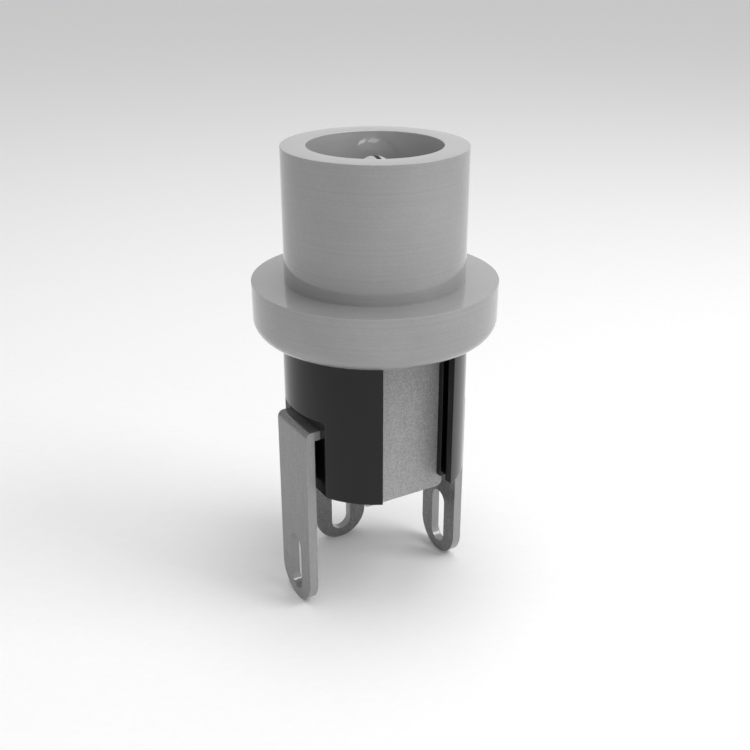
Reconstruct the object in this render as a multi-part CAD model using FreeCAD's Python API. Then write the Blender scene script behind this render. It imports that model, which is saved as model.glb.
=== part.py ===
import FreeCAD, Part
import math
import os

# Panel-mount dc barrel jack, millimetres.
# Origin at the centre of the flange's top face (the panel seat), +Z out of the mouth along the axis.
# -Y is the side with the front recess, +X and -X carry the two side lugs, +Y the lug of the centre pin.

V = FreeCAD.Vector

# Shell: barrel and flange turned from one bar.
barrel_d = 8.05
barrel_h = 5.83
bore_d = 5.86
flange_d = 10.95
flange_t = 2.47
flange_round = 0.85
edge_break = 0.03

# Body: one black moulding behind the flange, its spigot pushed up into the shell.
body_d = 8.36
body_h = 6.81
spigot_d = 7.6
spigot_h = 2.1
floor_drop = 0.1
flat_reach = 3.68
flat_h = 3.7

# Front recess: open up to the flange, with a T slot for the plate and an empty groove in front of it.
window_w = 3.6
plate_face = 2.58
plate_w = 4.24
plate_t = 0.42
plate_drop = 0.69
plate_corner = 0.3
plate_cover = 0.35
web_t = 0.33
groove_t = 0.43
groove_w = 4.2

# Stamped lugs, three alike from the bend down.
lug_t = 0.435
lug_w = 2.84
lug_tip = 15.49
eye_w = 1.06
eye_l = 2.94
eye_margin = 0.5
bend_outer = 0.3
bend_inner = 0.04
sleeve_gap = 0.24
shunt_gap = 0.05
pin_lug_reach = 3.95
tab_level = 6.15

# Contact leaves of the two side terminals, rising beside the plug.
leaf_w = 1.8
leaf_face = 2.79
leaf_bump = 0.24
leaf_top_drop = 0.45
leaf_room = 0.35
leaf_knee_rise = 0.23
leaf_knee_bend = 1.0
leaf_bump_rise = 1.0
leaf_bump_bend = 0.3
leaf_tip_round = 0.1

# Centre pin.
pin_d = 2.0
pin_recess = 0.5
slit_w = 0.22
slit_l = 4.0
collar_d = 3.0
collar_t = 0.5
stem_d = 1.8
tail_d = 1.4
head_d = 2.3
head_t = 0.35
head_round = 0.15

# Fits.
press_gap = 0.02
slot_gap = 0.03
seat_gap = 0.05

# Levels that follow from the sizes. BEYOND and PAST are how far cutting shapes run out of the solid.
barrel_r = barrel_d / 2
bore_r = bore_d / 2
flange_r = flange_d / 2
body_r = body_d / 2
spigot_r = spigot_d / 2
under_flange = -flange_t
body_bottom = under_flange - body_h
spigot_top = under_flange + spigot_h
cavity_r = bore_r + slot_gap
floor_z = under_flange - floor_drop
flat_top = body_bottom + flat_h
plate_top = floor_z - plate_cover
plate_bottom = body_bottom - plate_drop
plate_back = plate_face - plate_t
groove_back = plate_face + web_t
groove_front = groove_back + groove_t
tip_z = -lug_tip
tab_top = -tab_level
tab_bottom = tab_top - lug_t
foot_bottom = body_bottom - lug_t
sleeve_reach = flat_reach + sleeve_gap + lug_t
shunt_reach = flat_reach + shunt_gap + lug_t
pin_apex = barrel_h - pin_recess
BEYOND = 2 * flange_r
PAST = 1.0


def on_xz(a, b):
    """Point of the XZ plane."""
    return V(a, 0, b)


def on_yz(a, b):
    """Point of the YZ plane."""
    return V(0, a, b)


def on_xy(a, b):
    """Point of the XY plane."""
    return V(a, b, 0)


def corner(before, here, after, radius, room):
    """Start, middle and end of the arc that rounds one corner, or the corner itself."""
    if radius <= 0:
        return [here]
    to_before = before - here
    to_after = after - here
    half = to_before.getAngle(to_after) / 2
    cut = min(radius / math.tan(half), room)
    fitted = cut * math.tan(half)
    to_before.normalize()
    to_after.normalize()
    middle_way = to_before + to_after
    middle_way.normalize()
    middle = here + middle_way * (fitted / math.sin(half) - fitted)
    return [here + to_before * cut, middle, here + to_after * cut]


def rounded_face(points, plane):
    """Flat face inside a closed outline of (a, b, corner radius) points."""
    places = [plane(a, b) for a, b, radius in points]
    count = len(points)
    bends = []
    for i in range(count):
        following = (i + 1) % count
        before, here, after = places[i - 1], places[i], places[following]
        share_before = 0.5 if points[i - 1][2] > 0 else 1.0
        share_after = 0.5 if points[following][2] > 0 else 1.0
        room = min(share_before * before.distanceToPoint(here), share_after * after.distanceToPoint(here))
        bends.append(corner(before, here, after, points[i][2], room))
    edges = []
    for i in range(count):
        bend = bends[i]
        if len(bend) == 3:
            edges.append(Part.Arc(bend[0], bend[1], bend[2]).toShape())
        start = bend[-1]
        end = bends[(i + 1) % count][0]
        if start.distanceToPoint(end) > 1e-6:
            edges.append(Part.LineSegment(start, end).toShape())
    return Part.Face(Part.Wire(edges))


def turned(points):
    """Solid turned about the axis from (radius, z, corner radius) points."""
    face = rounded_face(points, on_xz)
    return face.revolve(V(0, 0, 0), V(0, 0, 1), 360)


def cylinder(radius, low, high):
    """Upright cylinder on the axis between two levels."""
    return Part.makeCylinder(radius, high - low, V(0, 0, low))


def box(x0, x1, y0, y1, z0, z1):
    """Box between two corners."""
    return Part.makeBox(x1 - x0, y1 - y0, z1 - z0, V(x0, y0, z0))


def about_axis(shape, degrees):
    """Copy of a shape turned about the axis."""
    copy = shape.copy()
    copy.rotate(V(0, 0, 0), V(0, 0, 1), degrees)
    return copy


def lug_outline(top):
    """Lug seen face on, from a level down to its round tip, cut through along X."""
    half = lug_w / 2
    points = [
        (-half, top, 0),
        (half, top, 0),
        (half, tip_z, half),
        (-half, tip_z, half),
    ]
    blank = rounded_face(points, on_yz).extrude(V(BEYOND, 0, 0))
    eye_half = eye_w / 2
    eye_low = tip_z + eye_margin
    eye_high = eye_low + eye_l
    low_end = Part.makeCylinder(eye_half, BEYOND, V(0, 0, eye_low + eye_half), V(1, 0, 0))
    high_end = Part.makeCylinder(eye_half, BEYOND, V(0, 0, eye_high - eye_half), V(1, 0, 0))
    middle = box(0, BEYOND, -eye_half, eye_half, eye_low + eye_half, eye_high - eye_half)
    return blank.cut(low_end.fuse(high_end).fuse(middle))


def build_shell():
    """Barrel and flange, bored through, with the seat for the body's spigot."""
    seat_r = spigot_r + press_gap
    seat_top = spigot_top + seat_gap
    points = [
        (bore_r, barrel_h, edge_break),
        (barrel_r, barrel_h, edge_break),
        (barrel_r, 0, 0),
        (flange_r, 0, edge_break),
        (flange_r, under_flange, flange_round),
        (seat_r, under_flange, 0),
        (seat_r, seat_top, 0),
        (bore_r, seat_top, 0),
    ]
    return turned(points)


def build_body():
    """Black moulding: cavity, pin hole, side flats, terminal slots and the front recess."""
    solid = turned([
        (0, body_bottom, 0),
        (body_r, body_bottom, 0),
        (body_r, under_flange, 0),
        (spigot_r, under_flange, 0),
        (spigot_r, spigot_top, 0),
        (0, spigot_top, 0),
    ])
    below = body_bottom - PAST
    above = spigot_top + PAST
    cuts = [cylinder(cavity_r, floor_z, above)]
    cuts.append(cylinder(stem_d / 2 + press_gap, below, above))
    leaf_half = leaf_w / 2 + slot_gap
    tab_half = lug_w / 2 + slot_gap
    slot_in = leaf_face - slot_gap
    leaf_out = leaf_face + lug_t
    for side in (0, 180):
        flat = box(flat_reach, BEYOND, -BEYOND, BEYOND, below, flat_top)
        tab_slot = box(slot_in, BEYOND, -tab_half, tab_half, tab_bottom, tab_top + seat_gap)
        leaf_slot = box(slot_in, leaf_out + slot_gap, -leaf_half, leaf_half, tab_bottom, above)
        leaf_well = box(0, leaf_out + leaf_room, -leaf_half, leaf_half, floor_z, above)
        for tool in (flat, tab_slot, leaf_slot, leaf_well):
            cuts.append(about_axis(tool, side))
    plate_half = plate_w / 2 + slot_gap
    back = -(plate_back - slot_gap)
    cuts.append(box(-plate_half, plate_half, -plate_face, back, below, plate_top))
    window = window_w / 2
    cuts.append(box(-window, window, -BEYOND, -plate_face, below, plate_top))
    groove = groove_w / 2
    cuts.append(box(-groove, groove, -groove_front, -groove_back, below, plate_top))
    cuts.append(box(-window, window, -BEYOND, -groove_front, below, under_flange))
    for tool in cuts:
        solid = solid.cut(tool)
    return solid.removeSplitter()


def build_plate():
    """Flat contact plate standing in the T slot, proud of the body's rear face."""
    half = plate_w / 2
    points = [
        (-half, plate_bottom, plate_corner),
        (half, plate_bottom, plate_corner),
        (half, plate_top, plate_corner),
        (-half, plate_top, plate_corner),
    ]
    plate = rounded_face(points, on_xz).extrude(V(0, plate_t, 0))
    plate.translate(V(0, -plate_face, 0))
    return plate


def build_side_terminal(reach, side):
    """One strip: solder lug, bend, tab through the body and the leaf beside the plug."""
    outer = reach
    inner = reach - lug_t
    leaf_in = leaf_face
    leaf_out = leaf_face + lug_t
    leaf_top = spigot_top - leaf_top_drop
    knee = floor_z + leaf_knee_rise
    bump_z = floor_z + leaf_bump_rise
    bump_in = leaf_in - leaf_bump
    bump_out = leaf_out - leaf_bump
    points = [
        (inner, tip_z - PAST, 0),
        (outer, tip_z - PAST, 0),
        (outer, tab_top, bend_outer),
        (leaf_out, tab_top, bend_inner),
        (leaf_out, knee, leaf_knee_bend),
        (bump_out, bump_z, leaf_bump_bend),
        (leaf_out, leaf_top, leaf_tip_round),
        (leaf_in, leaf_top, leaf_tip_round),
        (bump_in, bump_z, leaf_bump_bend + lug_t),
        (leaf_in, knee, leaf_knee_bend),
        (leaf_in, tab_bottom, bend_outer),
        (inner, tab_bottom, bend_inner),
    ]
    strip = rounded_face(points, on_xz)
    strip.translate(V(0, -lug_w / 2, 0))
    strip = strip.extrude(V(0, lug_w, 0))
    half = leaf_w / 2
    leaf = box(0, leaf_out + leaf_room, -half, half, tab_bottom, spigot_top)
    keep = lug_outline(tab_top).fuse(leaf)
    terminal = strip.common(keep).removeSplitter()
    return about_axis(terminal, side)


def build_pin_terminal():
    """Foot clamped under the body by the pin's rivet head, bent down into its lug."""
    outer = pin_lug_reach
    inner = outer - lug_t
    half = lug_w / 2
    points = [
        (-half, foot_bottom, 0),
        (inner, foot_bottom, bend_inner),
        (inner, tip_z - PAST, 0),
        (outer, tip_z - PAST, 0),
        (outer, body_bottom, bend_outer),
        (-half, body_bottom, 0),
    ]
    strip = rounded_face(points, on_xz)
    strip.translate(V(0, -half, 0))
    strip = strip.extrude(V(0, lug_w, 0))
    foot_points = [
        (-half, -half, half),
        (BEYOND, -half, 0),
        (BEYOND, half, 0),
        (-half, half, half),
    ]
    foot_view = rounded_face(foot_points, on_xy)
    foot_view.translate(V(0, 0, tip_z - PAST))
    foot_view = foot_view.extrude(V(0, 0, BEYOND + lug_tip))
    hole = cylinder(tail_d / 2 + press_gap, foot_bottom - PAST, body_bottom + PAST)
    lug = lug_outline(foot_bottom)
    keep = lug.fuse(box(-BEYOND, BEYOND, -half, half, foot_bottom, body_bottom))
    terminal = strip.common(foot_view).common(keep).cut(hole).removeSplitter()
    return about_axis(terminal, 90)


def build_pin():
    """Split centre pin with a collar on the cavity floor and a riveted tail."""
    pin_r = pin_d / 2
    head_low = foot_bottom - head_t
    points = [
        (0, pin_apex - pin_r, 0),
        (pin_r, pin_apex - pin_r, 0),
        (pin_r, floor_z + collar_t, 0),
        (collar_d / 2, floor_z + collar_t, 0),
        (collar_d / 2, floor_z, 0),
        (stem_d / 2, floor_z, 0),
        (stem_d / 2, body_bottom, 0),
        (tail_d / 2, body_bottom, 0),
        (tail_d / 2, foot_bottom, 0),
        (head_d / 2, foot_bottom, 0),
        (head_d / 2, head_low, head_round),
        (0, head_low, 0),
    ]
    nose = Part.makeSphere(pin_r, V(0, 0, pin_apex - pin_r))
    pin = turned(points).fuse(nose).removeSplitter()
    half = slit_w / 2
    slit = box(-half, half, -pin_r, pin_r, pin_apex - slit_l, pin_apex + PAST)
    return pin.cut(slit)


def main():
    """Build every piece and write one STEP file each."""
    os.makedirs("parts", exist_ok=True)
    pieces = {
        "shell": build_shell(),
        "body": build_body(),
        "contact_plate": build_plate(),
        "sleeve_terminal": build_side_terminal(sleeve_reach, 180),
        "shunt_terminal": build_side_terminal(shunt_reach, 0),
        "pin_terminal": build_pin_terminal(),
        "centre_pin": build_pin(),
    }
    for name, shape in pieces.items():
        shape.exportStep("parts/" + name + ".step")
        solids = len(shape.Solids)
        print(name, "solids", solids, "valid", shape.isValid(), "volume", round(shape.Volume, 3))


main()
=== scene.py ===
"""Looks for a panel-mount dc barrel jack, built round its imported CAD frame."""

import logging
import math
from collections.abc import Callable
from dataclasses import dataclass, field
from enum import Enum

import bmesh
import bpy
from mathutils import Matrix, Vector
from mathutils.geometry import delaunay_2d_cdt


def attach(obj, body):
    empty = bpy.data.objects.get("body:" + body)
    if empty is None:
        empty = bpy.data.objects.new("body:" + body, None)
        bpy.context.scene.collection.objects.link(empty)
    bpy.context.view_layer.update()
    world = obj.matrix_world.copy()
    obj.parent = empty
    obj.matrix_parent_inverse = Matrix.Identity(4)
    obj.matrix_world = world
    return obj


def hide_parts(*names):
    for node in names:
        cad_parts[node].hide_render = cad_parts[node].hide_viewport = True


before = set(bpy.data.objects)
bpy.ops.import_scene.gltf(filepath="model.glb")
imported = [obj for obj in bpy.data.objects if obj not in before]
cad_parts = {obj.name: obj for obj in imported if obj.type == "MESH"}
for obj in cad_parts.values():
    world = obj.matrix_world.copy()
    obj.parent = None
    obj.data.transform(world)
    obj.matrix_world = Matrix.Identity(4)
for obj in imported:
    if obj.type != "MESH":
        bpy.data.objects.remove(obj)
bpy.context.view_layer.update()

MM = 0.001
LOG = logging.getLogger("jack")
# Flat points nearer to each other than this, in millimetres, are one point.
CLOSE = 1e-4
# A flat triangle with less than half of this area, in square millimetres, is dropped.
FLAT = 1e-6
# The faces beside an edge that turns by less than this are shaded as one.
SOFT_TURN = math.radians(12)
# Straight pieces in a rounded edge of the moulding.
EDGE_STEPS = 3
# Noise hardly ever leaves this span, which is spread over a finish's own range.
NOISE_SPAN = {"From Min": 0.3, "From Max": 0.7}

Point = tuple[float, float]
Corner = tuple[float, float, float]
Bend = tuple[Point, float, Point, float]
Tree = bpy.types.NodeTree
Socket = bpy.types.NodeSocket


def linear(code: str) -> tuple[float, float, float, float]:
    """Turns an sRGB hex colour into the linear colour that shaders read.

    Args:
        code: Six hex digits with a leading hash.

    Returns:
        Linear red, green, blue and an alpha of one.
    """
    channels = []
    for start in (1, 3, 5):
        share = int(code[start : start + 2], 16) / 255
        dark = share <= 0.04045
        channels.append(share / 12.92 if dark else ((share + 0.055) / 1.055) ** 2.4)
    return (*channels, 1.0)


def add(
    tree: Tree,
    kind: str,
    settings: dict[str, object] | None = None,
    inputs: dict[str | int, object] | None = None,
) -> bpy.types.Node:
    """Adds one node with its settings, input values and links.

    Args:
        tree: The node tree that gets the node.
        kind: The node's type name.
        settings: Values of the node's own properties.
        inputs: A value or an output socket for each input, by name or place.

    Returns:
        The new node.
    """
    node = tree.nodes.new(kind)
    for name, value in (settings or {}).items():
        setattr(node, name, value)
    for name, value in (inputs or {}).items():
        if isinstance(value, Socket):
            tree.links.new(value, node.inputs[name])
        else:
            node.inputs[name].default_value = value
    return node


def marks(tree: Tree, size: tuple[float, float, float], layers: float = 2.0) -> Socket:
    """Adds soft random marks of a real size.

    Args:
        tree: The material's node tree.
        size: Length of one mark along x, y and z, in millimetres.
        layers: How many finer layers the marks get.

    Returns:
        The strength of the marks.
    """
    place = add(tree, "ShaderNodeTexCoord").outputs["Object"]
    spread = tuple(1 / (length * MM) for length in size)
    scaled = add(tree, "ShaderNodeVectorMath", {"operation": "MULTIPLY"}, {0: place, 1: spread})
    settings = {"Vector": scaled.outputs[0], "Scale": 1.0, "Detail": layers}
    return add(tree, "ShaderNodeTexNoise", inputs=settings).outputs["Fac"]


def layered(tree: Tree, fine: Socket, share: float, coarse: Socket) -> Socket:
    """Lays fine marks over coarse ones.

    Args:
        tree: The material's node tree.
        fine: The fine marks.
        share: How much of the result is fine, from zero to one.
        coarse: The coarse marks.

    Returns:
        The strength of both together.
    """
    rest = add(tree, "ShaderNodeMath", {"operation": "MULTIPLY"}, {0: coarse, 1: 1 - share})
    given = {0: fine, 1: share, 2: rest.outputs[0]}
    return add(tree, "ShaderNodeMath", {"operation": "MULTIPLY_ADD"}, given).outputs[0]


def radius(tree: Tree) -> Socket:
    """Adds the distance from the z axis.

    Args:
        tree: The material's node tree.

    Returns:
        The distance in metres.
    """
    place = add(tree, "ShaderNodeTexCoord").outputs["Object"]
    flat = add(tree, "ShaderNodeVectorMath", {"operation": "MULTIPLY"}, {0: place, 1: (1, 1, 0)})
    length = add(tree, "ShaderNodeVectorMath", {"operation": "LENGTH"}, {0: flat.outputs[0]})
    return length.outputs["Value"]


def turning(tree: Tree, pitch: float) -> Socket:
    """Adds the uneven rings that a turning tool leaves round the z axis.

    Args:
        tree: The material's node tree.
        pitch: Distance between two rings, in millimetres.

    Returns:
        The height of the rings.
    """
    place = add(tree, "ShaderNodeTexCoord").outputs["Object"]
    height = add(tree, "ShaderNodeSeparateXYZ", inputs={0: place}).outputs["Z"]
    along = add(tree, "ShaderNodeMath", {"operation": "ADD"}, {0: radius(tree), 1: height})
    settings = {"W": along.outputs[0], "Scale": 1 / (pitch * MM), "Detail": 1.0}
    return add(tree, "ShaderNodeTexNoise", {"noise_dimensions": "1D"}, settings).outputs["Fac"]


@dataclass(frozen=True)
class Finish:
    """A surface whose marks read Object coordinates and drive one Principled shader."""

    name: str = "plain"
    colour: str = "#808080"
    dark: str = "#808080"
    light: str = "#808080"
    edge_tint: str = "#FFFFFF"
    roughness: float = 0.5
    smoothest: float = 0.5
    roughest: float = 0.5
    depth: float = 0.0
    metallic: float = 0.0
    ior: float = 1.5
    coat: float = 0.0
    coat_ior: float = 1.5
    coat_roughness: float = 0.03

    def material(self) -> bpy.types.Material:
        """Builds the material with its shader.

        Returns:
            The new material.
        """
        made = bpy.data.materials.new(self.name)
        made.use_nodes = True
        tree = made.node_tree
        tree.nodes.clear()
        constants = {
            "Base Color": linear(self.colour),
            "Roughness": self.roughness,
            "Metallic": self.metallic,
            "IOR": self.ior,
            "Specular Tint": linear(self.edge_tint),
            "Coat Weight": self.coat,
            "Coat IOR": self.coat_ior,
            "Coat Roughness": self.coat_roughness,
        }
        shader = add(tree, "ShaderNodeBsdfPrincipled", inputs=constants)
        add(tree, "ShaderNodeOutputMaterial", inputs={"Surface": shader.outputs[0]})
        for name, marked in self.detail(tree).items():
            tree.links.new(marked, shader.inputs[name])
        return made

    def toned(self, tree: Tree, tone: Socket) -> Socket:
        """Spreads marks between the finish's dark and light tones.

        Args:
            tree: The material's node tree.
            tone: The marks.

        Returns:
            The colour.
        """
        share = add(tree, "ShaderNodeMapRange", inputs=NOISE_SPAN | {"Value": tone})
        ends = {0: share.outputs[0], 6: linear(self.dark), 7: linear(self.light)}
        return add(tree, "ShaderNodeMix", {"data_type": "RGBA"}, ends).outputs[2]

    def worn(self, tree: Tree, tone: Socket, wear: Socket, height: Socket) -> dict[str, Socket]:
        """Spreads marks over the finish's tone, roughness and relief.

        Args:
            tree: The material's node tree.
            tone: Marks from the dark tone to the light one.
            wear: Marks from the smoothest spots to the roughest.
            height: Marks that stand up by the finish's depth, in millimetres.

        Returns:
            The shader inputs that the marks drive.
        """
        ends = NOISE_SPAN | {"Value": wear, "To Min": self.smoothest, "To Max": self.roughest}
        roughness = add(tree, "ShaderNodeMapRange", inputs=ends)
        given = {"Strength": 1.0, "Distance": self.depth * MM, "Height": height}
        rise = add(tree, "ShaderNodeBump", inputs=given)
        return {
            "Base Color": self.toned(tree, tone),
            "Roughness": roughness.outputs[0],
            "Normal": rise.outputs[0],
        }

    def detail(self, tree: Tree) -> dict[str, Socket]:
        """Adds nothing to a plain finish."""
        return {}


@dataclass(frozen=True)
class TurnedNickel(Finish):
    """Satin nickel over turned brass: a soft grey with a thin clear shine."""

    name: str = "turned_nickel"
    colour: str = "#A1A1A1"
    dark: str = "#9C9C9C"
    light: str = "#A6A6A6"
    # Painted light: a lighter tone for the bore, against the shade inside it.
    bore_painted_light: str = "#BABABA"
    edge_tint: str = "#D4D4D4"
    roughness: float = 0.73
    smoothest: float = 0.71
    roughest: float = 0.75
    depth: float = 0.00007
    metallic: float = 1.0
    coat: float = 1.0
    coat_ior: float = 1.67
    # Radius, in millimetres, inside which the bore's painted light is used.
    painted_light_reach: float = 2.94
    # Real tool marks are about 0.05 mm apart: 0.12 mm is the finest that still shows.
    pitch: float = 0.12
    grain: float = 0.09
    cloud: float = 2.4
    grain_share: float = 0.5

    def detail(self, tree: Tree) -> dict[str, Socket]:
        """Adds the tool's rings, a fine plating grain, a slow change of tone and painted light in the
        bore.

        Args:
            tree: The material's node tree.

        Returns:
            The shader inputs that they drive.
        """
        rings = turning(tree, self.pitch)
        # The grain keeps the wide grey faces from looking like paint.
        grain = marks(tree, (self.grain,) * 3)
        both = layered(tree, grain, self.grain_share, marks(tree, (self.cloud,) * 3))
        driven = self.worn(tree, both, rings, rings)
        # Painted light: the bore is painted brighter than the turned outside, to make up for the shade
        # inside it.
        reach = {0: radius(tree), 1: self.painted_light_reach * MM}
        inside = add(tree, "ShaderNodeMath", {"operation": "LESS_THAN"}, reach)
        ends = {0: inside.outputs[0], 6: driven["Base Color"], 7: linear(self.bore_painted_light)}
        tone = add(tree, "ShaderNodeMix", {"data_type": "RGBA"}, ends)
        return driven | {"Base Color": tone.outputs[2], "Coat Normal": driven["Normal"]}


@dataclass(frozen=True)
class GlossMoulding(Finish):
    """Black moulded nylon from a polished tool: deep black with sharp reflections."""

    name: str = "gloss_moulding"
    colour: str = "#060606"
    dark: str = "#050505"
    light: str = "#080808"
    roughness: float = 0.08
    smoothest: float = 0.06
    roughest: float = 0.13
    depth: float = 0.008
    ior: float = 1.39
    # Sink and flow bend the reflections by a little over a few millimetres.
    waves: tuple[float, float, float] = (1.8, 1.8, 3.0)
    haze: float = 0.5

    def detail(self, tree: Tree) -> dict[str, Socket]:
        """Adds the slow waves and the slightly uneven gloss of a moulded face."""
        haze = marks(tree, (self.haze,) * 3)
        return self.worn(tree, haze, haze, marks(tree, self.waves, layers=0.0))


@dataclass(frozen=True)
class TinnedStrip(Finish):
    """Dull tin over rolled and stamped brass strip, with a painted highlight on its sheared edges."""

    name: str = "tinned_strip"
    colour: str = "#8C8C8C"
    dark: str = "#5F5F5F"
    light: str = "#9E9E9E"
    # Painted highlight: the lighter tone of the sheared edges.
    cut: str = "#A6A6A6"
    width_way: tuple[float, float, float] = (0.0, 1.0, 0.0)
    roughness: float = 0.8
    smoothest: float = 0.72
    roughest: float = 0.88
    depth: float = 0.002
    metallic: float = 1.0
    coat: float = 1.0
    coat_ior: float = 1.67
    coat_roughness: float = 0.05
    # Rolled strip is streaked lengthwise, and every strip here hangs along z.
    streaks: tuple[float, float, float] = (0.09, 0.09, 1.1)
    # Tin crystals are about 0.02 mm: 0.05 mm is the finest that still shows.
    spangle: float = 0.05
    spangle_share: float = 0.8

    def detail(self, tree: Tree) -> dict[str, Socket]:
        """Adds the strip's rolling lines, the dull spangle of its tin and a painted highlight on its cut
        edges.

        Args:
            tree: The material's node tree.

        Returns:
            The shader inputs that they drive.
        """
        spangle = marks(tree, (self.spangle,) * 3, layers=1.0)
        both = layered(tree, spangle, self.spangle_share, marks(tree, self.streaks))
        driven = self.worn(tree, both, both, both)
        # Painted highlight: the cut edges, which face along the strip's width, are painted lighter.
        facing = {0: add(tree, "ShaderNodeTexCoord").outputs["Normal"], 1: self.width_way}
        turned = add(tree, "ShaderNodeVectorMath", {"operation": "DOT_PRODUCT"}, facing)
        given = {0: turned.outputs["Value"]}
        highlight_share = add(tree, "ShaderNodeMath", {"operation": "ABSOLUTE"}, given)
        ends = {0: highlight_share.outputs[0], 6: driven["Base Color"], 7: linear(self.cut)}
        tone = add(tree, "ShaderNodeMix", {"data_type": "RGBA"}, ends)
        return driven | {"Base Color": tone.outputs[2], "Coat Normal": driven["Normal"]}


@dataclass(frozen=True)
class DullPlatePaintedLight(TinnedStrip):
    """The same tinned strip, quite matt and painted lighter against the shade of the front recess, as on
    the contact plate.
    """

    name: str = "dull_plate_painted_light"
    # Painted light: these tones are lighter than the strip's, to make up for the shade in the recess.
    colour: str = "#A0A0A0"
    dark: str = "#9A9A9A"
    light: str = "#C9C9C9"
    width_way: tuple[float, float, float] = (1.0, 0.0, 0.0)
    roughness: float = 0.73
    coat: float = 0.0


@dataclass(frozen=True)
class BrightPin(Finish):
    """Bright nickel over the turned pin: sharp glints, drawn out by its fine rings."""

    name: str = "bright_pin"
    colour: str = "#C8C8C8"
    dark: str = "#C0C0C0"
    light: str = "#D0D0D0"
    roughness: float = 0.15
    smoothest: float = 0.12
    roughest: float = 0.2
    depth: float = 0.0008
    metallic: float = 1.0
    pitch: float = 0.08
    wear: float = 0.3

    def detail(self, tree: Tree) -> dict[str, Socket]:
        """Adds the pin's finer tool rings and the wear of its tip."""
        rings = turning(tree, self.pitch)
        return self.worn(tree, marks(tree, (self.wear,) * 3), rings, rings)


@dataclass(frozen=True)
class PalePaper(Finish):
    """Matt white paper under the jack, with hardly visible fibres."""

    name: str = "pale_paper"
    colour: str = "#FAFAFA"
    dark: str = "#F9F9F9"
    light: str = "#FBFBFB"
    roughness: float = 0.9
    fibres: tuple[float, float, float] = (0.5, 0.25, 1.0)

    def detail(self, tree: Tree) -> dict[str, Socket]:
        """Adds the paper's fibres."""
        return {"Base Color": self.toned(tree, marks(tree, self.fibres))}


def round_corner(before: Point, here: Point, after: Point, radius: float, steps: int) -> list[Point]:
    """Rounds one corner of a flat line.

    Args:
        before: The corner before it.
        here: The corner itself.
        after: The corner after it.
        radius: Radius of the rounding in millimetres, or zero for a sharp corner.
        steps: Straight pieces in the rounding.

    Returns:
        The points that take the corner's place.
    """
    if radius <= 0:
        return [here]
    at = Vector(here)
    back = (Vector(before) - at).normalized()
    on = (Vector(after) - at).normalized()
    turn = math.pi - back.angle(on)
    cut = radius * math.tan(turn / 2)
    centre = at + (back + on).normalized() * (radius / math.cos(turn / 2))
    start = at + back * cut - centre
    sweep = start.angle_signed(at + on * cut - centre)
    arms = [Matrix.Rotation(-sweep * step / steps, 2) @ start for step in range(steps + 1)]
    return [(centre.x + arm.x, centre.y + arm.y) for arm in arms]


def rounded(corners: list[Corner], steps: int) -> list[Point]:
    """Rounds the corners of a closed flat outline.

    Args:
        corners: Across, along and corner radius of each corner, in millimetres.
        steps: Straight pieces in each rounded corner.

    Returns:
        The outline's points in order.
    """
    points: list[Point] = []
    for i, (a, b, radius) in enumerate(corners):
        before, after = corners[i - 1], corners[(i + 1) % len(corners)]
        points += round_corner(before[:2], (a, b), after[:2], radius, steps)
    return [p for p, q in zip(points, points[-1:] + points[:-1]) if math.dist(p, q) > CLOSE]


def face_lines(corners: list[Bend], steps: int = 6) -> tuple[list[Point], list[Point]]:
    """Makes the lines of a strip's two faces, bend for bend.

    Args:
        corners: Place and bend radius of the front face, then of the back face, at each corner.
        steps: Straight pieces in each bend.

    Returns:
        The front face's line and the back face's line, with as many points each.
    """
    lines: list[list[Point]] = []
    for place, bend in ((0, 1), (2, 3)):
        line = [corners[0][place]]
        for before, here, after in zip(corners, corners[1:], corners[2:]):
            line += round_corner(before[place], here[place], after[place], here[bend], steps)
        lines.append([*line, corners[-1][place]])
    return lines[0], lines[1]


def band(half: float, low: float, high: float) -> list[Point]:
    """Gives the corners of a rectangle that reaches equally far to both sides of x = 0."""
    return [(-half, low), (half, low), (half, high), (-half, high)]


def centre_of(face: tuple[int, ...], points: list[Point]) -> Point:
    """Gives the middle of a flat triangle."""
    return sum(points[i][0] for i in face) / 3, sum(points[i][1] for i in face) / 3


def inset(loop: list[Point], depth: float) -> list[Point]:
    """Moves each point of a closed outline to its left by a small depth.

    Args:
        loop: The outline's points, the material on the left.
        depth: How far the outline moves into the material.

    Returns:
        The moved points.
    """
    moved = []
    for i, (a, b) in enumerate(loop):
        before = loop[i - 1]
        after = loop[(i + 1) % len(loop)]
        first = Vector((a - before[0], b - before[1])).normalized()
        second = Vector((after[0] - a, after[1] - b)).normalized()
        middle = first + second
        # The limit keeps a very sharp corner from moving far away.
        scale = 2 * depth / max(middle.length_squared, 0.5)
        moved.append((a - middle.y * scale, b + middle.x * scale))
    return moved


def within(point: Point, loops: list[list[Point]]) -> bool:
    """Says whether a flat point is inside an odd number of closed outlines.

    Args:
        point: The point.
        loops: The outlines.

    Returns:
        Whether it is.
    """
    x, y = point
    odd = False
    for loop in loops:
        for (x0, y0), (x1, y1) in zip(loop, loop[1:] + loop[:1]):
            if (y0 > y) != (y1 > y) and x < x0 + (y - y0) * (x1 - x0) / (y1 - y0):
                odd = not odd
    return odd


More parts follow.
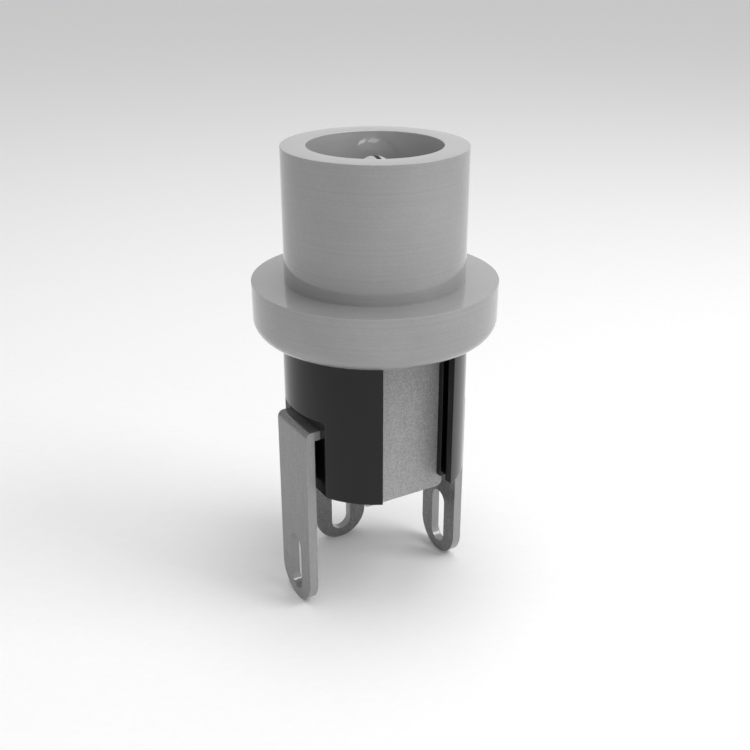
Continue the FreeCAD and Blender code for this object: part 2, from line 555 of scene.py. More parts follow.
def divide(
    loops: list[list[Point]], lines: list[tuple[Point, Point]]
) -> tuple[list[Point], list[tuple[int, ...]]]:
    """Divides the plane inside some outlines into triangles that keep every line.

    Args:
        loops: Closed outlines.
        lines: More lines that triangles may not cross.

    Returns:
        The points and the triangles between them.
    """
    points: list[Vector] = []
    edges: list[tuple[int, int]] = []
    for loop in loops:
        first = len(points)
        points += [Vector(p) for p in loop]
        edges += [(first + i, first + (i + 1) % len(loop)) for i in range(len(loop))]
    for line in lines:
        edges.append((len(points), len(points) + 1))
        points += [Vector(end) for end in line]
    found, _, faces, *_ = delaunay_2d_cdt(points, edges, [], 0, CLOSE / 10)
    flat = [(p.x, p.y) for p in found]
    kept = []
    for a, b, c in faces:
        if abs((found[b] - found[a]).cross(found[c] - found[a])) > FLAT:
            kept.append((a, b, c))
    return flat, kept


def closed_mesh(name: str, work: bmesh.types.BMesh) -> bpy.types.Mesh:
    """Turns the work of mesh code into a named mesh, and frees it.

    Args:
        name: The new mesh's name.
        work: The finished work.

    Returns:
        The mesh.
    """
    mesh = bpy.data.meshes.new(name)
    work.to_mesh(mesh)
    work.free()
    return mesh


def stand(name: str, data: bpy.types.ID) -> bpy.types.Object:
    """Puts a mesh, a lamp or a camera into the scene.

    Args:
        name: The new object's name.
        data: What it shows.

    Returns:
        The new object.
    """
    made = bpy.data.objects.new(name, data)
    bpy.context.scene.collection.objects.link(made)
    return made


def piece(name: str, mesh: bpy.types.Mesh, finish: bpy.types.Material) -> bpy.types.Object:
    """Puts a mesh with its finish into the scene.

    Args:
        name: The new object's name.
        mesh: Its mesh, in place.
        finish: Its only material.

    Returns:
        The new object.
    """
    mesh.materials.clear()
    mesh.materials.append(finish)
    return stand(name, mesh)


def settle(made: bpy.types.Object, node: str) -> None:
    """Turns live modifiers into plain mesh and gives the piece its place in the frame.

    Args:
        made: The finished piece.
        node: The CAD node that it stands for.
    """
    graph = bpy.context.evaluated_depsgraph_get()
    mesh = bpy.data.meshes.new_from_object(made.evaluated_get(graph), depsgraph=graph)
    mesh.name = made.name
    made.modifiers.clear()
    made.data = mesh
    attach(made, "root")
    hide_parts(node)
    LOG.info("%s stands for %s with %d faces", made.name, node, len(mesh.polygons))


@dataclass(frozen=True)
class Lathe:
    """Geometry Nodes that turn a flat profile about the axis, as a lathe does."""

    steps_around: int = 256
    steps_per_corner: int = 6
    ring_radius: float = 3.0 * MM
    sharp_angle: float = 30.0

    def tree(self) -> Tree:
        """Builds the node tree with its named inputs.

        Returns:
            The tree, which ends in Realize Instances and Set Material.
        """
        tree = bpy.data.node_groups.new("lathe", "GeometryNodeTree")
        for name, kind in (
            ("Profile", "Geometry"),
            ("Steps around", "Int"),
            ("Steps per corner", "Int"),
            ("Ring radius", "Float"),
            ("Sharp angle", "Float"),
            ("Finish", "Material"),
        ):
            tree.interface.new_socket(name, in_out="INPUT", socket_type="NodeSocket" + kind)
        tree.interface.new_socket("Piece", in_out="OUTPUT", socket_type="NodeSocketGeometry")
        given = add(tree, "NodeGroupInput").outputs
        curve = add(tree, "GeometryNodeMeshToCurve", inputs={"Mesh": given["Profile"]})
        corner = add(tree, "GeometryNodeInputNamedAttribute", inputs={"Name": "corner"})
        values = {"Curve": curve.outputs[0], "Count": given["Steps per corner"]}
        values |= {"Radius": corner.outputs[0], "Limit Radius": True}
        fillet = add(tree, "GeometryNodeFilletCurve", {"mode": "POLY"}, values)
        values = {0: given["Ring radius"], 1: -1.0}
        less = add(tree, "ShaderNodeMath", {"operation": "MULTIPLY"}, values)
        shift = add(tree, "ShaderNodeCombineXYZ", inputs={"X": less.outputs[0]})
        values = {"Geometry": fillet.outputs[0], "Offset": shift.outputs[0]}
        moved = add(tree, "GeometryNodeSetPosition", inputs=values)
        values = {"Resolution": given["Steps around"], "Radius": given["Ring radius"]}
        ring = add(tree, "GeometryNodeCurvePrimitiveCircle", inputs=values)
        values = {"Curve": ring.outputs[0], "Profile Curve": moved.outputs[0]}
        swept = add(tree, "GeometryNodeCurveToMesh", inputs=values)
        values = {"Geometry": swept.outputs[0], "Distance": CLOSE * MM}
        closed = add(tree, "GeometryNodeMergeByDistance", inputs=values)
        smooth = add(tree, "GeometryNodeSetShadeSmooth", inputs={"Geometry": closed.outputs[0]})
        angle = add(tree, "GeometryNodeInputMeshEdgeAngle")
        values = {0: angle.outputs["Unsigned Angle"], 1: given["Sharp angle"]}
        sharp = add(tree, "FunctionNodeCompare", {"operation": "GREATER_THAN"}, values)
        values = {"Geometry": smooth.outputs[0], "Selection": sharp.outputs[0], "Shade Smooth": False}
        edged = add(tree, "GeometryNodeSetShadeSmooth", {"domain": "EDGE"}, values)
        real = add(tree, "GeometryNodeRealizeInstances", inputs={"Geometry": edged.outputs[0]})
        values = {"Geometry": real.outputs[0], "Material": given["Finish"]}
        dressed = add(tree, "GeometryNodeSetMaterial", inputs=values)
        add(tree, "NodeGroupOutput", inputs={0: dressed.outputs[0]})
        return tree

    def turn(
        self, name: str, corners: list[Corner], closed: bool, finish: bpy.types.Material
    ) -> bpy.types.Object:
        """Turns one profile into a piece.

        Args:
            name: The new object's name.
            corners: Radius, level and corner radius of each corner, in millimetres.
            closed: Whether the profile is a closed loop, for a piece with a hole along its axis.
            finish: The piece's material.

        Returns:
            The object, with the modifier still live.
        """
        mesh = bpy.data.meshes.new(name)
        count = len(corners)
        edges = [(i, i + 1) for i in range(count - 1)]
        if closed:
            edges.append((count - 1, 0))
        mesh.from_pydata([(across * MM, -level * MM, 0) for across, level, _ in corners], edges, [])
        corner = mesh.attributes.new("corner", "FLOAT", "POINT")
        corner.data.foreach_set("value", [rounding * MM for _, _, rounding in corners])
        made = piece(name, mesh, finish)
        tree = self.tree()
        live = made.modifiers.new("lathe", "NODES")
        live.node_group = tree
        values = {
            "Steps around": self.steps_around,
            "Steps per corner": self.steps_per_corner,
            "Ring radius": self.ring_radius,
            "Sharp angle": math.radians(self.sharp_angle),
            "Finish": finish,
        }
        for socket in tree.interface.items_tree:
            if socket.name in values:
                live[socket.identifier] = values[socket.name]
        return made


def shade_by_area(made: bpy.types.Object) -> None:
    """Lets a piece's large faces lead its shading, so that they look flat.

    Args:
        made: The piece.
    """
    shade = made.modifiers.new("shade", "WEIGHTED_NORMAL")
    shade.mode = "FACE_AREA"
    shade.weight = 100
    shade.thresh = 0.01
    shade.keep_sharp = True


def finish_edges(made: bpy.types.Object, width: float, chosen: Callable[[Vector], bool]) -> None:
    """Rounds the outward edges of a solid that a test chooses, and shades it.

    Args:
        made: The solid.
        width: How far the rounding reaches from the edge, in millimetres.
        chosen: Says whether the edge at a place in millimetres is rounded.
    """
    work = bmesh.new()
    work.from_mesh(made.data)
    weight = work.edges.layers.float.new("bevel_weight_edge")
    for edge in work.edges:
        turns = len(edge.link_faces) == 2 and edge.calc_face_angle() > SOFT_TURN
        middle = (edge.verts[0].co + edge.verts[1].co) / 2 / MM
        edge[weight] = 1.0 if turns and edge.is_convex and chosen(middle) else 0.0
        edge.smooth = not turns
    for face in work.faces:
        face.smooth = True
    work.to_mesh(made.data)
    work.free()
    bevel = made.modifiers.new("edges", "BEVEL")
    bevel.limit_method = "WEIGHT"
    bevel.width = width * MM
    bevel.segments = EDGE_STEPS
    bevel.use_clamp_overlap = False
    bevel.miter_outer = "MITER_ARC"
    shade_by_area(made)


@dataclass
class Shell:
    """Barrel and flange, turned from one bar."""

    barrel_r: float = 4.025
    barrel_h: float = 5.83
    bore_r: float = 2.93
    flange_r: float = 5.475
    flange_t: float = 2.47
    flange_round: float = 0.85
    edge_break: float = 0.03
    seat_edge: float = 0.01
    tool_round: float = 0.05
    seat_r: float = 3.82
    seat_top: float = -0.32

    def build(self, finish: bpy.types.Material) -> None:
        """Turns the shell from its profile.

        Args:
            finish: The plated metal.
        """
        corners = [
            (self.bore_r, self.barrel_h, self.edge_break),
            (self.barrel_r, self.barrel_h, self.edge_break),
            (self.barrel_r, 0.0, 0.0),
            (self.flange_r, 0.0, self.seat_edge),
            (self.flange_r, -self.flange_t, self.flange_round),
            (self.seat_r, -self.flange_t, self.edge_break),
            (self.seat_r, self.seat_top, self.tool_round),
            (self.bore_r, self.seat_top, self.edge_break),
        ]
        made = Lathe(steps_per_corner=10).turn("plated_shell", corners, True, finish)
        shade_by_area(made)
        settle(made, "shell")


@dataclass
class CentrePin:
    """Split pin with its collar, stem and riveted tail."""

    pin_r: float = 1.0
    apex: float = 5.33
    slit_w: float = 0.22
    slit_l: float = 4.0
    floor_z: float = -2.57
    collar_r: float = 1.5
    collar_t: float = 0.5
    stem_r: float = 0.9
    body_bottom: float = -9.28
    tail_r: float = 0.7
    foot_t: float = 0.435
    head_r: float = 1.15
    head_t: float = 0.25
    head_round: float = 0.15
    edge_break: float = 0.02

    def saw(self) -> bpy.types.Object:
        """Makes the block that the slit is cut with.

        Returns:
            The block, which is in the scene.
        """
        block = bmesh.new()
        bmesh.ops.create_cube(block, size=1.0)
        half = self.slit_w / 2
        for vert in block.verts:
            x = half if vert.co.x > 0 else -half
            y = 2 * self.pin_r if vert.co.y > 0 else -2 * self.pin_r
            z = self.apex + self.pin_r if vert.co.z > 0 else self.apex - self.slit_l
            vert.co = Vector((x, y, z)) * MM
        return stand("saw", closed_mesh("saw", block))

    def build(self, finish: bpy.types.Material) -> None:
        """Turns the pin and saws its slit.

        Args:
            finish: The plated metal.
        """
        foot = self.body_bottom - self.foot_t
        low = foot - self.head_t
        collar_top = self.floor_z + self.collar_t
        corners = [
            (0.0, self.apex, 0.0),
            (self.pin_r, self.apex, self.pin_r),
            (self.pin_r, collar_top, self.edge_break),
            (self.collar_r, collar_top, self.edge_break),
            (self.collar_r, self.floor_z, 0.0),
            (self.stem_r, self.floor_z, 0.0),
            (self.stem_r, self.body_bottom, 0.0),
            (self.tail_r, self.body_bottom, 0.0),
            (self.tail_r, foot, 0.0),
            (self.head_r, foot, self.edge_break),
            (self.head_r, low, self.head_round),
            (0.0, low, 0.0),
        ]
        lathe = Lathe(steps_around=128, steps_per_corner=16, ring_radius=MM)
        made = lathe.turn("split_pin", corners, False, finish)
        saw = self.saw()
        cut = made.modifiers.new("slit", "BOOLEAN")
        cut.operation = "DIFFERENCE"
        cut.solver = "EXACT"
        cut.object = saw
        shade_by_area(made)
        settle(made, "centre_pin")
        bpy.data.objects.remove(saw)


@dataclass
class Layers:
    """Upright solid made of level slabs, each a region of one flat division of the plan."""

    loops: list[list[Point]]
    levels: list[float]
    region: Callable[[Point, float], bool]

    def mesh(self, name: str) -> bpy.types.Mesh:
        """Builds the walls of every slab and the level faces between slabs.

        Args:
            name: The new mesh's name.

        Returns:
            The closed mesh, in metres.
        """
        flat, faces = divide(self.loops, [])
        middles = [centre_of(face, flat) for face in faces]
        solid = []
        for low, high in zip(self.levels, self.levels[1:]):
            solid.append([self.region(middle, (low + high) / 2) for middle in middles])
        empty = [False] * len(faces)
        made = bmesh.new()
        verts: dict[tuple[int, int], bmesh.types.BMVert] = {}

        def corner(point: int, level: int) -> bmesh.types.BMVert:
            """Gives the vertex over one plan point at one level.

            Args:
                point: The plan point's number.
                level: The level's number.

            Returns:
                The vertex.
            """
            if (point, level) not in verts:
                a, b = flat[point]
                verts[point, level] = made.verts.new(Vector((a, b, self.levels[level])) * MM)
            return verts[point, level]

        for level, (below, above) in enumerate(zip([empty, *solid], [*solid, empty])):
            for face, under, over in zip(faces, below, above):
                if under != over:
                    ring = face if under else face[::-1]
                    made.faces.new([corner(i, level) for i in ring])
        for level, inside in enumerate(solid):
            rings = [face for face, kept in zip(faces, inside) if kept]
            sides = {side for ring in rings for side in zip(ring, ring[1:] + ring[:1])}
            for start, end in sides:
                if (end, start) not in sides:
                    ring = [(start, level), (end, level), (end, level + 1), (start, level + 1)]
                    made.faces.new([corner(i, at) for i, at in ring])
        level_turn = math.radians(0.3)
        bmesh.ops.dissolve_limit(made, angle_limit=level_turn, verts=made.verts[:], edges=made.edges[:])
        return closed_mesh(name, made)


@dataclass
class Body:
    """Black moulding behind the flange with its flats, slots and front recess."""

    body_r: float = 4.18
    flange_t: float = 2.47
    body_h: float = 6.81
    spigot_r: float = 3.8
    spigot_top: float = -0.37
    cavity_r: float = 2.96
    floor_z: float = -2.57
    stem_r: float = 0.92
    flat_reach: float = 3.68
    flat_top: float = -5.58
    window_half: float = 1.8
    groove_half: float = 2.1
    groove_front: float = 3.34
    groove_back: float = 2.91
    plate_face: float = 2.58
    plate_back: float = 2.13
    plate_half: float = 2.15
    plate_top: float = -2.92
    slot_in: float = 2.76
    leaf_out: float = 3.255
    leaf_well: float = 3.575
    leaf_half: float = 0.93
    tab_half: float = 1.45
    tab_low: float = -6.585
    tab_high: float = -6.1
    edge_round: float = 0.035
    # Edges close under the flange and round the stem stay sharp, except at the rear face.
    flange_cover: float = 0.2
    stem_cover: float = 1.0
    rear_edge: float = 0.1
    steps_around: int = 240

    def ring(self, reach: float, angles: list[float]) -> list[Point]:
        """Divides a circle evenly between some angles.

        Args:
            reach: The circle's radius.
            angles: Angles that get a point, in radians.

        Returns:
            The circle's points in order.
        """
        angles = sorted(angle % math.tau for angle in angles) or [0.0]
        points = []
        for start, end in zip(angles, angles[1:] + [angles[0] + math.tau]):
            steps = max(1, round((end - start) / math.tau * self.steps_around))
            for step in range(steps):
                angle = start + (end - start) * step / steps
                points.append((reach * math.cos(angle), reach * math.sin(angle)))
        return points

    def plan(self) -> dict[str, list[Point]]:
        """Draws every outline that the moulding has at any level.

        Returns:
            The outlines by name, in millimetres. The flats are open lines.
        """
        flat_angle = math.acos(self.flat_reach / self.body_r)
        window_angle = math.asin(self.window_half / self.body_r)
        down = -math.pi / 2
        angles = [flat_angle, -flat_angle, math.pi - flat_angle, math.pi + flat_angle]
        angles += [down + window_angle, down - window_angle]
        window = self.window_half
        mouth = -self.body_r * math.cos(window_angle)
        beyond = -self.body_r - 1
        opening = [(-window, beyond), (window, beyond), (window, mouth), (window, -self.groove_front)]
        opening += [(-window, -self.groove_front), (-window, mouth)]
        sides = (-self.flat_reach, self.flat_reach)
        flats = [[(side, -self.body_r), (side, self.body_r)] for side in sides]
        return {
            "outer": self.ring(self.body_r, angles),
            "opening": opening,
            "groove": band(self.groove_half, -self.groove_front, -self.groove_back),
            "web": band(window, -self.groove_back, -self.plate_face),
            "slot": band(self.plate_half, -self.plate_face, -self.plate_back),
            "spigot": self.ring(self.spigot_r, []),
            "cavity": self.ring(self.cavity_r, []),
            "stem": self.ring(self.stem_r, []),
            "leaf": band(self.leaf_out, -self.leaf_half, self.leaf_half),
            "leaf core": band(self.slot_in, -self.leaf_half, self.leaf_half),
            "well": band(self.leaf_well, -self.leaf_half, self.leaf_half),
            "tab": band(self.flat_reach, -self.tab_half, self.tab_half),
            "tab core": band(self.slot_in, -self.tab_half, self.tab_half),
            "left flat": flats[0],
            "right flat": flats[1],
        }

    def build(self, finish: bpy.types.Material) -> None:
        """Builds the moulding slab by slab and rounds its outer edges.

        Args:
            finish: The black moulding.
        """
        plan = self.plan()
        under = -self.flange_t
        bottom = under - self.body_h

        def filled(point: Point, level: float) -> bool:
            """Says whether the moulding fills a plan point at a level.

            Args:
                point: The plan point.
                level: The level.

            Returns:
                Whether it does.
            """

            def on(name: str) -> bool:
                """Says whether the point is inside one outline."""
                return within(point, [plan[name]])

            if level > under and not on("spigot"):
                return False
            if not on("outer") or on("stem"):
                return False
            if level < self.flat_top and abs(point[0]) > self.flat_reach:
                return False
            if level < under and on("opening"):
                return False
            if level < self.plate_top and (on("groove") or on("web") or on("slot")):
                return False
            if level > self.floor_z and (on("cavity") or on("well")):
                return False
            if level > self.tab_low and on("leaf") and not on("leaf core"):
                return False
            tab_level = self.tab_low < level < self.tab_high
            return not (tab_level and on("tab") and not on("tab core"))

        def shown(place: Vector) -> bool:
            """Says whether an edge shows behind the flange."""
            outside = math.hypot(place.x, place.y) > self.stem_r + self.stem_cover
            return place.z < under - self.flange_cover and (outside or place.z < bottom + self.rear_edge)

        levels = [bottom, self.tab_low, self.tab_high, self.flat_top, self.plate_top]
        levels += [self.floor_z, under, self.spigot_top]
        mesh = Layers(list(plan.values()), levels, filled).mesh("moulded_body")
        made = piece("moulded_body", mesh, finish)
        finish_edges(made, self.edge_round, shown)
        settle(made, "body")


@dataclass
class Strip:
    """Stamped strip: a flat pattern carried along the bent lines of its two faces."""

    pattern: list[list[Point]]
    front: list[Point]
    back: list[Point]
    roll_over: float = 0.018
    burr: float = 0.01
    steps: int = 3
    lengths: list[float] = field(init=False)

    def __post_init__(self) -> None:
        """Measures the length along the strip at each point of its two face lines."""
        self.lengths = [0.0]
        for i in range(1, len(self.front)):
            run = math.dist(self.front[i - 1], self.front[i]) + math.dist(self.back[i - 1], self.back[i])
            self.lengths.append(self.lengths[-1] + run / 2)

    def marked(self, loop: list[Point]) -> list[Point]:
        """Adds a point where an outline crosses each bend line.

        Args:
            loop: A closed outline of the flat pattern.

        Returns:
            The outline with its added points.
        """
        points: list[Point] = []
        for (s0, y0), (s1, y1) in zip(loop, loop[1:] + loop[:1]):
            points.append((s0, y0))
            low, high = min(s0, s1), max(s0, s1)
            crossed = [s for s in self.lengths if low + CLOSE < s < high - CLOSE]
            for s in crossed if s1 > s0 else crossed[::-1]:
                points.append((s, y0 + (y1 - y0) * (s - s0) / (s1 - s0)))
        return points

    def place(self, s: float, y: float, depth: float) -> Vector:
        """Carries a pattern point to its place in the bent strip.

        Args:
            s: Length along the strip.
            y: Place across the strip.
            depth: Zero at the back face, one at the front face.

        Returns:
            The place in metres.
        """
        lengths = self.lengths
        at = 1
        while at < len(lengths) - 1 and s > lengths[at]:
            at += 1
        share = (s - lengths[at - 1]) / (lengths[at] - lengths[at - 1])
        ends = [Vector(line[at - 1]).lerp(Vector(line[at]), share) for line in (self.back, self.front)]
        flat = ends[0].lerp(ends[1], depth)
        return Vector((flat.x, y, flat.y)) * MM

    def levels(self) -> list[tuple[float, float]]:
        """Steps round the burred edge, up the sheared wall and round the rolled-over edge.

        Returns:
            Depth and inset of each ring, the depth as in place().
        """
        thick = math.dist(self.front[0], self.back[0])
        turns = [math.pi / 2 * step / self.steps for step in range(self.steps + 1)]
        steps = [(1 - math.cos(turn), 1 - math.sin(turn)) for turn in turns]
        low = [(self.burr * up / thick, self.burr * edge) for up, edge in steps]
        high = [(1 - self.roll_over * up / thick, self.roll_over * edge) for up, edge in steps[::-1]]
        return low + high

    def cap(
        self,
        made: bmesh.types.BMesh,
        rings: list[list[bmesh.types.BMVert]],
        loops: list[list[Point]],
        depth: float,
    ) -> None:
        """Closes one face of the strip, with an edge along each bend line.

        Args:
            made: The mesh so far.
            rings: The vertices round each outline of this face.
            loops: The flat points of those vertices.
            depth: Zero for the back face, one for the front face.
        """
        lines = []
        for s in self.lengths[1:-1]:
            across = sorted(y for loop in loops for t, y in loop if abs(t - s) < CLOSE)
            spans = zip(across, across[1:])
            lines += [((s, a), (s, b)) for a, b in spans if within((s, (a + b) / 2), loops)]
        flat, faces = divide(loops, lines)
        known = [pair for ring, loop in zip(rings, loops) for pair in zip(ring, loop)]

        def found(point: Point) -> bmesh.types.BMVert:
            """Gives the vertex at a point of the face, which is on a ring or new.

            Args:
                point: The flat point.

            Returns:
                The vertex.
            """
            vert, spot = min(known, key=lambda pair: math.dist(pair[1], point))
            if math.dist(spot, point) > 4 * CLOSE:
                vert = made.verts.new(self.place(*point, depth))
                known.append((vert, point))
            return vert

        for face in faces:
            if within(centre_of(face, flat), loops):
                corners = [found(flat[i]) for i in face]
                if len(set(corners)) == len(corners):
                    made.faces.new(corners if depth > 0 else corners[::-1])

    def mesh(self, name: str) -> bpy.types.Mesh:
        """Builds both faces, the sheared sides and their rounded edges.

        Args:
            name: The new mesh's name.

        Returns:
            The closed mesh, in metres.
        """
        outlines = [self.marked(loop) for loop in self.pattern]
        levels = self.levels()
        made = bmesh.new()
        loops = [[inset(outline, edge) for outline in outlines] for _, edge in levels]
        rings = [
            [[made.verts.new(self.place(s, y, depth)) for s, y in loop] for loop in flat]
            for (depth, _), flat in zip(levels, loops)
        ]
        for low, high in zip(rings, rings[1:]):
            for under, over in zip(low, high):
                for wall in zip(under, under[1:] + under[:1], over[1:] + over[:1], over):
                    made.faces.new(wall)
        self.cap(made, rings[0], loops[0], 0.0)
        self.cap(made, rings[-1], loops[-1], 1.0)
        bmesh.ops.recalc_face_normals(made, faces=made.faces[:])
        for face in made.faces:
            face.smooth = True
        # Faces, rounded edges and sheared walls are shaded apart, so that each stays even.
        for at in (0, self.steps, self.steps + 1, -1):
            for ring in rings[at]:
                for vert, on in zip(ring, ring[1:] + ring[:1]):
                    made.edges.get((vert, on)).smooth = False
        open_edges = sum(not edge.is_manifold for edge in made.edges)
        LOG.info("%s has %d open edges, volume %.3f", name, open_edges, made.calc_volume() / MM**3)
        return closed_mesh(name, made)

    def build(self, name: str, node: str, turn: float, finish: bpy.types.Material) -> None:
        """Stands the strip in its place round the axis.

        Args:
            name: The new object's name.
            node: The CAD node that it stands for.
            turn: The strip's turn about the axis, in degrees.
            finish: The strip's material.
        """
        mesh = self.mesh(name)
        mesh.transform(Matrix.Rotation(math.radians(turn), 4, "Z"))
        made = piece(name, mesh, finish)
        shade_by_area(made)
        settle(made, node)


class Side(Enum):
    """Which side of the body a strip stands at, as a turn about the axis in degrees."""

    SHUNT = 0
    SLEEVE = 180
    PIN = 90
    RECESS = -90


@dataclass
class Lug:
    """The lug that all three terminals share, from the bend down."""

    thick: float = 0.435
    width: float = 2.84
    tip: float = -15.49
    eye_w: float = 1.06
    eye_l: float = 2.94
    eye_margin: float = 0.5
    bend_outer: float = 0.3
    bend_inner: float = 0.04
    tip_steps: int = 24

    def eye(self) -> list[Point]:
        """Gives the eye's outline in the flat pattern, clockwise."""
        half = self.eye_w / 2
        low = self.eye_margin
        high = low + self.eye_l
        corners = [(low, half, half), (high, half, half), (high, -half, half), (low, -half, half)]
        return rounded(corners, self.tip_steps // 2)

    def bends(self, reach: float, top: float) -> list[Bend]:
        """Gives the corners of the face lines from the tip up to the lug's bend.

        Args:
            reach: Distance of the outer face from the axis.
            top: Level of the upper face beyond the bend.

        Returns:
            The corners, as face_lines reads them.
        """
        inner = reach - self.thick
        low = top - self.thick
        straight = low - 2 * self.bend_inner
        return [
            ((reach, self.tip), 0.0, (inner, self.tip), 0.0),
            ((reach, straight), 0.0, (inner, straight), 0.0),
            ((reach, top), self.bend_outer, (inner, low), self.bend_inner),
        ]


@dataclass
class SideTerminal:
    """One strip: solder lug, bend, tab through the body and the leaf beside the plug."""

    side: Side
    reach: float
    lug: Lug
    tab_top: float = -6.15
    leaf_w: float = 1.8
    leaf_in: float = 2.79
    leaf_bump: float = 0.24
    leaf_top: float = -0.82
    knee: float = -2.34
    knee_bend: float = 1.0
    bump_z: float = -1.57
    bump_bend: float = 0.3
    corner_round: float = 0.1
    step_round: float = 0.03
    # The strip narrows to the leaf at this point of its face lines, where the tab bends up.
    leaf_start: int = 9

    def build(self, name: str, node: str, finish: bpy.types.Material) -> None:
        """Bends the strip and stamps its eye.

        Args:
            name: The new object's name.
            node: The CAD node that it stands for.
            finish: The tinned strip.
        """
        lug = self.lug
        inside = self.leaf_in
        outside = inside + lug.thick
        bump_in, bump_out = inside - self.leaf_bump, outside - self.leaf_bump
        bump_back = self.bump_bend + lug.thick
        tab_low = self.tab_top - lug.thick
        corners = lug.bends(self.reach, self.tab_top) + [
            ((outside, self.tab_top), lug.bend_inner, (inside, tab_low), lug.bend_outer),
            ((outside, self.knee), self.knee_bend, (inside, self.knee), self.knee_bend),
            ((bump_out, self.bump_z), self.bump_bend, (bump_in, self.bump_z), bump_back),
            ((outside, self.leaf_top), 0.0, (inside, self.leaf_top), 0.0),
        ]
        strip = Strip([], *face_lines(corners))
        end = strip.lengths[-1]
        step = strip.lengths[self.leaf_start] - self.corner_round
        half = lug.width / 2
        leaf = self.leaf_w / 2
        outline = [
            (0, -half, half),
            (step, -half, self.corner_round),
            (step, -leaf, self.step_round),
            (end, -leaf, self.corner_round),
            (end, leaf, self.corner_round),
            (step, leaf, self.step_round),
            (step, half, self.corner_round),
            (0, half, half),
        ]
        strip.pattern = [rounded(outline, lug.tip_steps), lug.eye()]
        strip.build(name, node, self.side.value, finish)


@dataclass
class PinTerminal:
    """Foot under the body, held by the pin's rivet head, bent down into its lug."""

    lug: Lug
    reach: float = 3.95
    body_bottom: float = -9.28
    hole_r: float = 0.72
    hole_steps: int = 48

    def build(self, finish: bpy.types.Material) -> None:
        """Bends the strip and stamps its eye and its rivet hole.

        Args:
            finish: The tinned strip.
        """
        lug = self.lug
        low = self.body_bottom - lug.thick
        half = lug.width / 2
        foot = self.reach - lug.thick - 2 * lug.bend_inner
        corners = lug.bends(self.reach, self.body_bottom)
        corners += [((x, self.body_bottom), 0.0, (x, low), 0.0) for x in (foot, -half)]
        strip = Strip([], *face_lines(corners))
        end = strip.lengths[-1]
        angles = [math.tau * step / self.hole_steps for step in range(self.hole_steps)]
        centre = end - half
        hole = [(centre + self.hole_r * math.cos(a), -self.hole_r * math.sin(a)) for a in angles]
        outline = [(0, -half, half), (end, -half, half), (end, half, half), (0, half, half)]
        strip.pattern = [rounded(outline, lug.tip_steps), lug.eye(), hole]
        strip.build("back_terminal", "pin_terminal", Side.PIN.value, finish)


@dataclass
class ContactPlate:
    """Flat plate standing in the front recess."""

    face: float = 2.58
    thick: float = 0.42
    width: float = 4.24
    top: float = -2.92
    bottom: float = -9.97
    corner_round: float = 0.3
    corner_steps: int = 8

    def build(self, finish: bpy.types.Material) -> None:
        """Stamps the plate.

        Args:
            finish: The tinned strip.
        """
        half = self.width / 2
        height = self.top - self.bottom
        inner = self.face - self.thick
        front = [(self.face, self.bottom), (self.face, self.top)]
        back = [(inner, self.bottom), (inner, self.top)]
        bend = self.corner_round
        outline = [(0, -half, bend), (height, -half, bend), (height, half, bend), (0, half, bend)]
        strip = Strip([rounded(outline, self.corner_steps)], front, back)
        strip.build("front_plate", "contact_plate", Side.RECESS.value, finish)


@dataclass(frozen=True)
class Lamp:
    """A soft area lamp, placed in the camera's own directions round the jack."""

    name: str
    right: float
    back: float
    up: float
    width: float
    height: float
    power: float


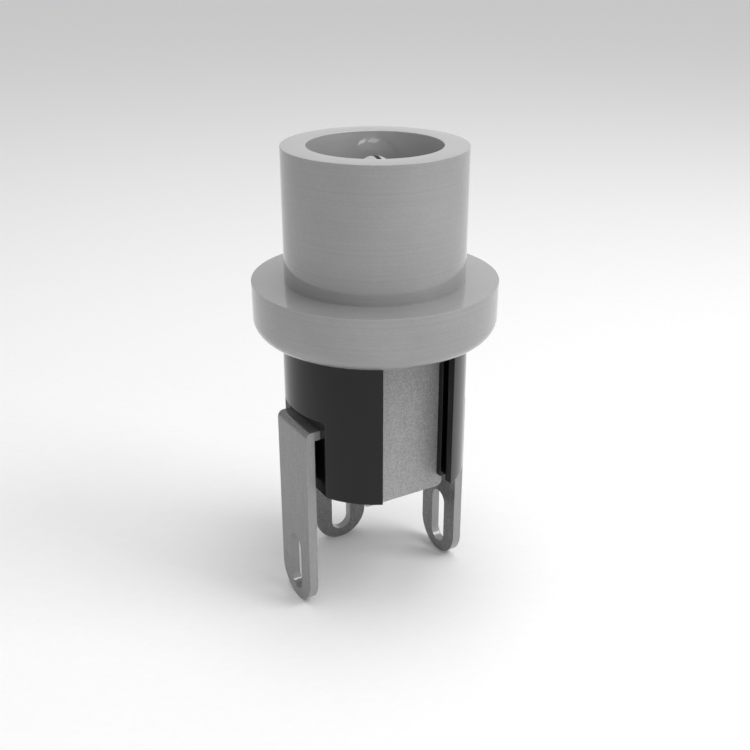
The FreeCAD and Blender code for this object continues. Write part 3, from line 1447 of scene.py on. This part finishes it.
@dataclass
class Studio:
    """Pale floor, soft lamps and the camera at the photograph's angle."""

    azimuth: float = -30.5
    pitch: float = 23.97
    distance: float = 44.01 * MM
    camera_up: float = 14.75 * MM
    lens: float = 50.0
    floor_z: float = -15.49 * MM
    floor_half: float = 1.5
    sky: float = 0.57
    white_from: float = 0.3

    LAMPS = (
        Lamp("overhead", 0.0137, -0.0079, 0.129, 0.08, 0.08, 0.067),
        Lamp("right", 0.0909, -0.0278, 0.0887, 0.06, 0.06, 0.061),
    )

    def place(self, right: float, back: float, up: float) -> Vector:
        """Turns a place seen from the camera's side into the jack's own frame."""
        turn = Matrix.Rotation(math.radians(self.azimuth), 4, "Z")
        return turn @ Vector((right, back, up))

    def camera(self) -> None:
        """Makes the camera that the photograph was fitted with."""
        data = bpy.data.cameras.new("camera")
        data.lens = self.lens
        data.clip_start = 1 * MM
        data.clip_end = 10.0
        camera = stand("camera", data)
        camera.location = self.place(0, -self.distance, self.camera_up)
        camera.rotation_euler = (math.radians(90 - self.pitch), 0, math.radians(self.azimuth))
        bpy.context.scene.camera = camera

    def light(self) -> None:
        """Makes the lamps, which all face the origin."""
        for lamp in self.LAMPS:
            data = bpy.data.lights.new(lamp.name, "AREA")
            data.shape = "RECTANGLE"
            data.size = lamp.width
            data.size_y = lamp.height
            data.energy = lamp.power
            light = stand(lamp.name, data)
            light.location = self.place(lamp.right, lamp.back, lamp.up)
            light.rotation_euler = (-light.location).to_track_quat("-Z", "Y").to_euler()

    def backdrop(self) -> None:
        """Makes the plain sky, which reflections see as a backdrop that is white on the right."""
        world = bpy.data.worlds.new("studio")
        world.use_nodes = True
        tree = world.node_tree
        tree.nodes.clear()
        ray = add(tree, "ShaderNodeLightPath")
        place = add(tree, "ShaderNodeTexCoord").outputs["Generated"]
        right = tuple(self.place(1, 0, 0))
        side = add(tree, "ShaderNodeVectorMath", {"operation": "DOT_PRODUCT"}, {0: place, 1: right})
        ends = {"Value": side.outputs["Value"], "From Min": -1.0, "From Max": self.white_from}
        ends |= {"To Min": 0.0, "To Max": 1 - self.sky}
        more = add(tree, "ShaderNodeMapRange", inputs=ends)
        seen = {0: more.outputs[0], 1: ray.outputs["Is Glossy Ray"], 2: self.sky}
        strength = add(tree, "ShaderNodeMath", {"operation": "MULTIPLY_ADD"}, seen)
        given = {"Strength": strength.outputs[0], "Color": (1, 1, 1, 1)}
        shade = add(tree, "ShaderNodeBackground", inputs=given)
        add(tree, "ShaderNodeOutputWorld", inputs={"Surface": shade.outputs[0]})
        bpy.context.scene.world = world

    def floor(self) -> None:
        """Lays the floor at the level of the lug tips."""
        half = self.floor_half
        mesh = bpy.data.meshes.new("floor")
        corners = [(x, y, self.floor_z) for x, y in band(half, -half, half)]
        mesh.from_pydata(corners, [], [(0, 1, 2, 3)])
        floor = piece("floor", mesh, PalePaper().material())

    def build(self) -> None:
        """Makes everything round the jack."""
        self.camera()
        self.light()
        self.backdrop()
        self.floor()


def main() -> None:
    """Builds the studio and every piece of the jack."""
    logging.basicConfig(level=logging.INFO, format="%(message)s")
    Studio().build()
    nickel = TurnedNickel().material()
    black = GlossMoulding().material()
    tin = TinnedStrip().material()
    tin_across = TinnedStrip("tinned_strip_across", width_way=(1.0, 0.0, 0.0)).material()
    plate = DullPlatePaintedLight().material()
    bright = BrightPin().material()
    Shell().build(nickel)
    CentrePin().build(bright)
    Body().build(black)
    ContactPlate().build(plate)
    lug = Lug()
    SideTerminal(Side.SLEEVE, 4.355, lug).build("front_left_terminal", "sleeve_terminal", tin)
    SideTerminal(Side.SHUNT, 4.165, lug).build("right_terminal", "shunt_terminal", tin)
    PinTerminal(lug).build(tin_across)
    bpy.context.scene.view_settings.view_transform = "Standard"


if __name__ == "__main__":
    main()
